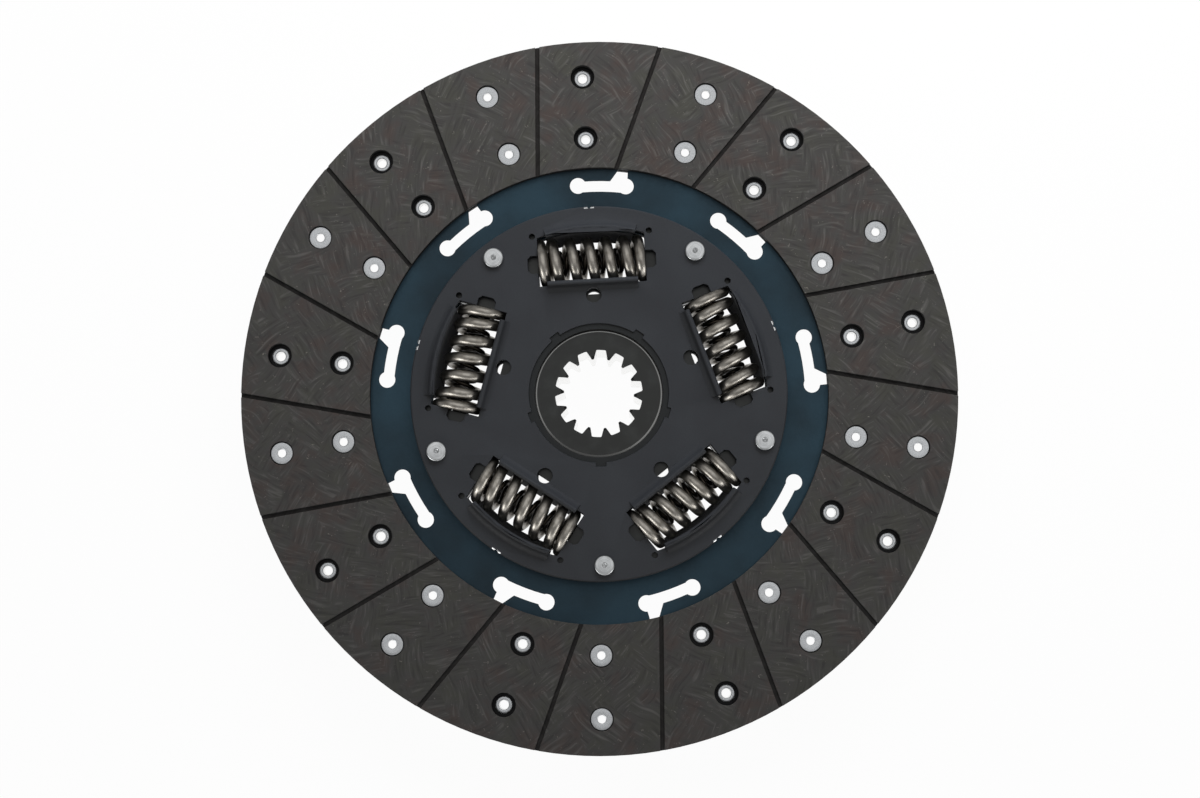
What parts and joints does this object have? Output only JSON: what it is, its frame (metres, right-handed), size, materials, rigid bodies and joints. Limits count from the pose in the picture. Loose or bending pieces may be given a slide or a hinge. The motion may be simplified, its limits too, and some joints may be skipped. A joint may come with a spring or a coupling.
{
  "type": "clutch disc",
  "caption": "Round dry clutch disc with riveted friction facings, waved cushion disc, splined hub and a torsion damper of nested coil springs in windowed side plates.",
  "frame": {"origin": "on the disc's axis, in the plane of the hub's rear end", "axes": "+Z along the axis towards the side with the short hub nose, which the picture shows; +X to the picture's right and +Y to its top"},
  "size_m": [0.325, 0.325, 0.0387],
  "materials": {
    "facing": "woven friction material, ground flat",
    "blued_steel": "hardened spring steel, heat-blued",
    "plate": "pressed sheet steel, phosphated dark grey",
    "hub": "forged steel, black phosphate, broached spline",
    "spring_wire": "shot-peened spring wire",
    "rivet": "bright zinc-plated steel",
    "pin": "bright turned steel",
    "bush": "dark moulded polyamide",
    "friction_ring": "moulded friction material"
  },
  "bodies": {
    "disc": {"cushion_disc": "blued_steel", "front_facing": "facing", "rear_facing": "facing", "front_facing_rivets": "rivet", "rear_facing_rivets": "rivet", "front_side_plate": "plate", "rear_side_plate": "plate", "front_bush": "bush", "rear_bush": "bush", "front_friction_ring": "friction_ring", "rear_friction_ring": "friction_ring", "disc_spring": "blued_steel", "stop_pin_1": "pin", "stop_pin_2": "pin", "stop_pin_3": "pin", "stop_pin_4": "pin", "stop_pin_5": "pin"},
    "hub": {"hub": "hub"},
    "springs": {"damper_spring_1": "spring_wire", "damper_spring_2": "spring_wire", "damper_spring_3": "spring_wire", "damper_spring_4": "spring_wire", "damper_spring_5": "spring_wire", "inner_spring_1": "spring_wire", "inner_spring_2": "spring_wire", "inner_spring_3": "spring_wire", "inner_spring_4": "spring_wire", "inner_spring_5": "spring_wire"}
  },
  "joints": [
    {"name": "hub_twist", "type": "hinge", "parent": "disc", "child": "hub", "pos_m": [0, 0, 0.0272], "axis": [0, 0, 1], "range_deg": [-8, 5.7], "stiffness_Nm_per_rad": 3900, "deforming": ["damper_spring_1", "damper_spring_2", "damper_spring_3", "damper_spring_4", "damper_spring_5", "inner_spring_1", "inner_spring_2", "inner_spring_3", "inner_spring_4", "inner_spring_5"]},
    {"name": "spring_drift", "type": "hinge", "parent": "disc", "child": "springs", "pos_m": [0, 0, 0.0272], "axis": [0, 0, 1], "range_deg": [-4, 2.85], "deforming": ["damper_spring_1", "damper_spring_2", "damper_spring_3", "damper_spring_4", "damper_spring_5", "inner_spring_1", "inner_spring_2", "inner_spring_3", "inner_spring_4", "inner_spring_5"]}
  ],
  "couplings": [
    {"joint": "spring_drift", "follows": "hub_twist", "ratio": 0.5}
  ]
}
